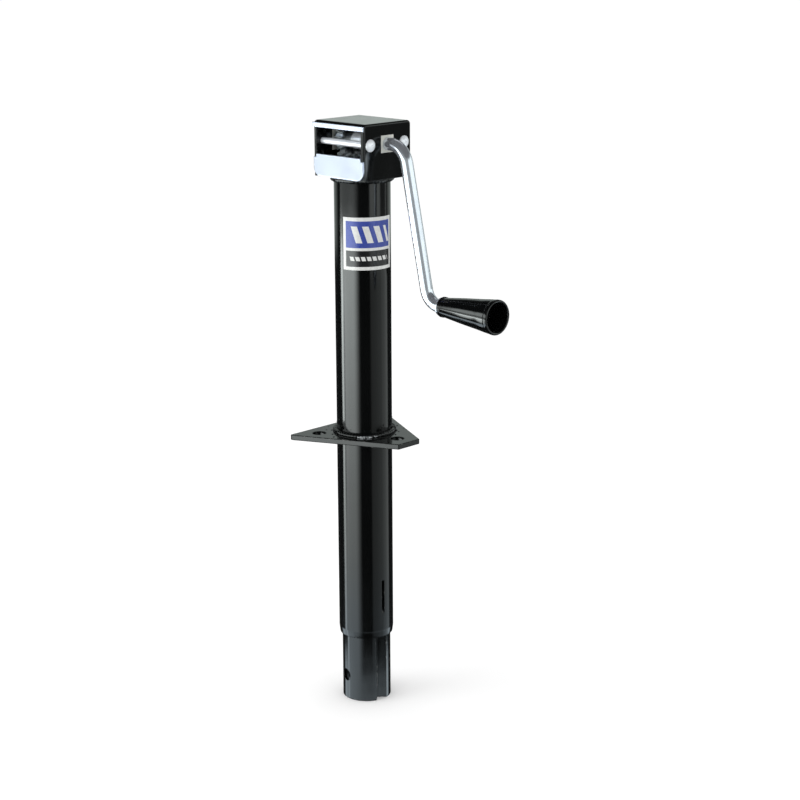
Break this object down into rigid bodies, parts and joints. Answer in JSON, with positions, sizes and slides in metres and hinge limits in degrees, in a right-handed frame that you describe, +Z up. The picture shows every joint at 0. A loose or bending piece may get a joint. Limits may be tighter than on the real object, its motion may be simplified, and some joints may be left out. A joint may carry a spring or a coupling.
{
  "type": "trailer tongue jack",
  "caption": "Side-wind trailer tongue jack: black tube with triangular bolt-on flange, bevel-gear head, bent zinc crank with turning grip and a screw-driven inner leg.",
  "frame": {"origin": "centre of the bolt circle on the flange's underside, on the tube's axis", "axes": "+Z up along the tube, +X toward the crank, -Y toward the open front of the gear head"},
  "size_m": [0.2255, 0.1322, 0.6125],
  "materials": {
    "black_paint_tube": "gloss black enamel",
    "black_paint_flange": "gloss black enamel",
    "black_paint_weld": "gloss black enamel",
    "black_paint_base": "gloss black enamel",
    "black_paint_head_weld": "gloss black enamel",
    "black_paint_cover": "gloss black enamel",
    "zinc_chin": "bright zinc plate",
    "zinc_lip": "bright zinc plate",
    "zinc_rivet": "bright zinc plate",
    "zinc_spacer": "bright zinc plate",
    "bushing_plastic": "natural nylon",
    "race_steel_low": "oiled steel",
    "label_film": "printed film",
    "zinc_crank": "bright zinc plate",
    "pinion_steel": "oiled steel",
    "pin_steel": "oiled steel",
    "zinc_sleeve": "bright zinc plate",
    "zinc_retainer": "bright zinc plate",
    "zinc_collar": "bright zinc plate",
    "zinc_nut": "bright zinc plate",
    "grip_plastic": "gloss black",
    "screw_steel": "oiled steel",
    "gear_steel": "oiled steel",
    "key_steel": "oiled steel",
    "clip_steel": "oiled steel",
    "race_steel_up": "oiled steel",
    "ball_steel": "oiled steel",
    "cage_brass": "satin",
    "black_paint_leg": "gloss black enamel",
    "nut_steel": "oiled steel"
  },
  "bodies": {
    "housing": {"outer_tube": "black_paint_tube", "mounting_flange": "black_paint_flange", "flange_weld": "black_paint_weld", "head_base": "black_paint_base", "head_weld": "black_paint_head_weld", "head_cover": "black_paint_cover", "chin_plate": "zinc_chin", "top_lip": "zinc_lip", "head_rivets": "zinc_rivet", "rivet_spacers": "zinc_spacer", "crank_bushings": "bushing_plastic", "lower_race": "race_steel_low", "label": "label_film"},
    "crank": {"crank_rod": "zinc_crank", "drive_pinion": "pinion_steel", "pinion_pin": "pin_steel", "shaft_spacer": "zinc_sleeve", "shaft_retainer": "zinc_retainer", "grip_collar": "zinc_collar", "grip_nut": "zinc_nut"},
    "grip": {"grip": "grip_plastic"},
    "screw": {"lift_screw": "screw_steel", "driven_gear": "gear_steel", "gear_key": "key_steel", "gear_clip": "clip_steel", "upper_race": "race_steel_up"},
    "cage": {"ball_cage": "cage_brass", "bearing_balls": "ball_steel"},
    "leg": {"inner_tube": "black_paint_leg", "drive_nut": "nut_steel"}
  },
  "joints": [
    {"name": "crank_turn", "type": "hinge", "parent": "housing", "child": "crank", "pos_m": [0, 0, 0.3042], "axis": [-1, 0, 0], "range_deg": [0, 43090]},
    {"name": "grip_spin", "type": "hinge", "parent": "crank", "child": "grip", "pos_m": [0.146, 0, 0.1517], "axis": [1, 0, 0], "continuous": true},
    {"name": "screw_spin", "type": "hinge", "parent": "housing", "child": "screw", "pos_m": [0, 0, 0.28], "axis": [0, 0, 1], "range_deg": [0, 25140]},
    {"name": "cage_spin", "type": "hinge", "parent": "housing", "child": "cage", "pos_m": [0, 0, 0.277], "axis": [0, 0, 1], "range_deg": [0, 12570]},
    {"name": "leg_slide", "type": "slide", "parent": "housing", "child": "leg", "axis": [0, 0, -1], "range_m": [0, 0.355]}
  ],
  "couplings": [
    {"joint": "screw_spin", "follows": "crank_turn", "ratio": 0.58333},
    {"joint": "cage_spin", "follows": "crank_turn", "ratio": 0.29167},
    {"joint": "leg_slide", "follows": "crank_turn", "m_per_rad": 0.00047163}
  ]
}
